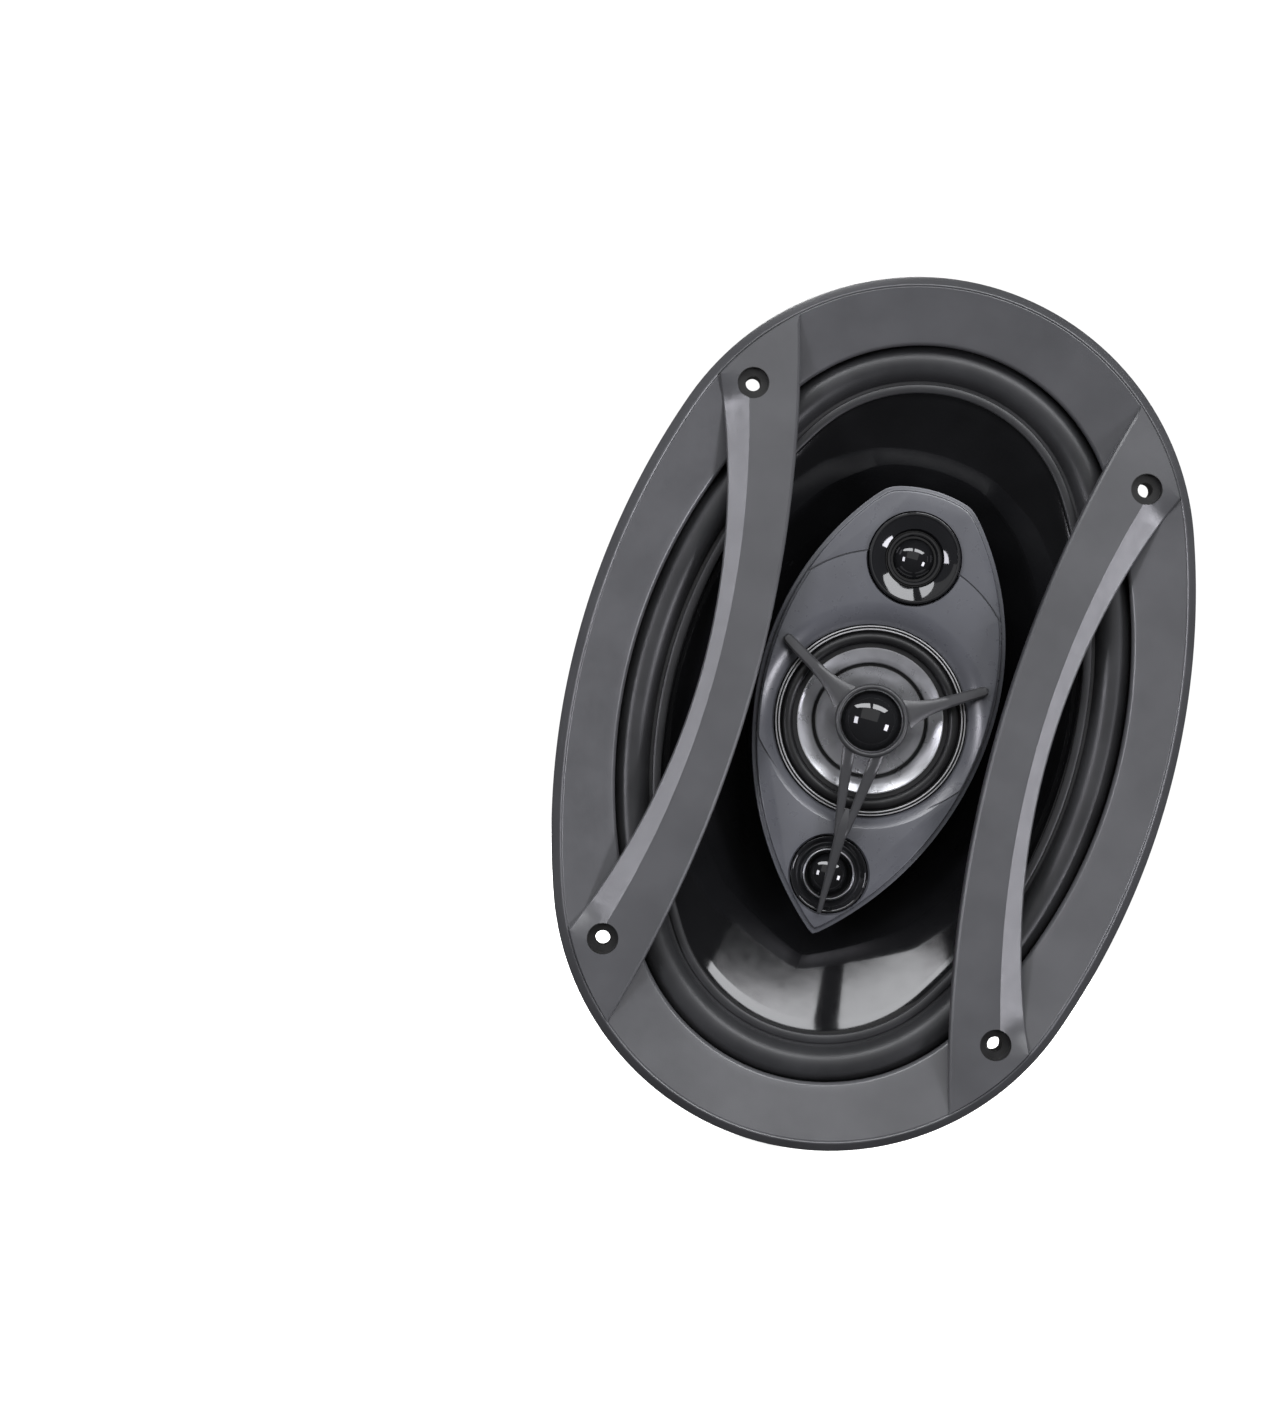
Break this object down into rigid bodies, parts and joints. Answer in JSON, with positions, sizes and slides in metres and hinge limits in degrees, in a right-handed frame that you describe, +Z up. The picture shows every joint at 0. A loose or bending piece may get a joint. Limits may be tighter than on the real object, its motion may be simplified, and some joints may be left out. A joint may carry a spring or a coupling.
{
  "type": "coaxial car speaker",
  "caption": "Oval coaxial car loudspeaker with a woofer cone, a lens-shaped pod of small drivers and a removable trim ring with two curved bars.",
  "frame": {"origin": "centre of the four screw holes, on the rear face of the mounting flange", "axes": "+X to the right and +Z up seen from the front; the front faces -Y and the motor points to +Y"},
  "size_m": [0.172, 0.1014, 0.249],
  "materials": {
    "pressed_steel": "satin black",
    "rivet_steel": "plain",
    "gasket_foam": "matt",
    "surround_rubber": "satin",
    "cone_poly": "gloss",
    "spider_cloth": "impregnated cloth",
    "former_film": "film",
    "winding_copper": "enamelled copper wire",
    "tinsel": "braided copper",
    "zinc_steel": "zinc plated",
    "ferrite": "sintered, matt",
    "boot_rubber": "matt",
    "fibre_board": "pressed fibre",
    "tinned_brass": "tinned",
    "pod_black": "moulded",
    "pod_grey": "fine moulded grain",
    "screw_steel": "black oxide",
    "lead_pvc": "sleeved",
    "capacitor_sleeve": "shrink sleeve",
    "mid_steel": "black",
    "mid_rubber": "satin",
    "mid_silver": "metallised film",
    "bezel_black": "gloss with two bright rings",
    "horn_gloss": "high gloss",
    "dome_gloss": "high gloss",
    "ring_silver": "plated",
    "guard_grey": "fine moulded grain",
    "trim_grey": "fine moulded grain"
  },
  "bodies": {
    "chassis": {"basket": "pressed_steel", "basket_rivets": "rivet_steel", "gasket": "gasket_foam", "surround": "surround_rubber", "spider": "spider_cloth", "tinsel_leads": "tinsel", "top_plate": "zinc_steel", "magnet": "ferrite", "back_plate": "zinc_steel", "magnet_boot": "boot_rubber", "terminal_board": "fibre_board", "terminal_rivets": "rivet_steel", "terminal_positive": "tinned_brass", "terminal_negative": "tinned_brass", "pod_post": "pod_black", "pod_rear": "pod_black", "pod_face": "pod_grey", "pod_screws": "screw_steel", "pod_leads": "lead_pvc", "crossover_capacitors": "capacitor_sleeve", "mid_basket": "mid_steel", "mid_surround": "mid_rubber", "mid_spider": "spider_cloth", "mid_top_plate": "zinc_steel", "mid_magnet": "ferrite", "mid_back_plate": "zinc_steel", "mid_bezel": "bezel_black", "hub_tweeter_body": "horn_gloss", "hub_tweeter_magnet": "zinc_steel", "guard": "guard_grey", "top_tweeter_horn": "horn_gloss", "top_tweeter_magnet": "zinc_steel", "low_tweeter_cup": "horn_gloss", "low_tweeter_ring": "ring_silver", "low_tweeter_magnet": "zinc_steel"},
    "woofer_cone": {"cone": "cone_poly", "coil_former": "former_film", "voice_coil": "winding_copper"},
    "midrange_cone": {"mid_cone": "mid_silver", "mid_former": "former_film", "mid_coil": "winding_copper"},
    "hub_dome": {"hub_tweeter_dome": "dome_gloss"},
    "top_dome": {"top_tweeter_dome": "dome_gloss"},
    "low_dome": {"low_tweeter_dome": "dome_gloss"},
    "trim": {"trim_ring": "trim_grey"}
  },
  "joints": [
    {"name": "woofer_stroke", "type": "slide", "parent": "chassis", "child": "woofer_cone", "axis": [0, -1, 0], "range_m": [-0.0035, 0.0035], "stiffness_N_per_m": 2500, "deforming": ["surround", "spider", "tinsel_leads"]},
    {"name": "midrange_stroke", "type": "slide", "parent": "chassis", "child": "midrange_cone", "axis": [0, -1, 0], "range_m": [-0.0008, 0.0008], "stiffness_N_per_m": 800, "deforming": ["mid_surround", "mid_spider"]},
    {"name": "hub_tweeter_stroke", "type": "slide", "parent": "chassis", "child": "hub_dome", "axis": [0, -1, 0], "range_m": [-0.0002, 0.0002], "stiffness_N_per_m": 300},
    {"name": "top_tweeter_stroke", "type": "slide", "parent": "chassis", "child": "top_dome", "axis": [0, -1, 0], "range_m": [-0.0002, 0.0002], "stiffness_N_per_m": 300},
    {"name": "low_tweeter_stroke", "type": "slide", "parent": "chassis", "child": "low_dome", "axis": [0, -1, 0], "range_m": [-0.0002, 0.0002], "stiffness_N_per_m": 300},
    {"name": "trim_ring_lift", "type": "slide", "parent": "chassis", "child": "trim", "axis": [0, -1, 0], "range_m": [0, 0.06]}
  ]
}
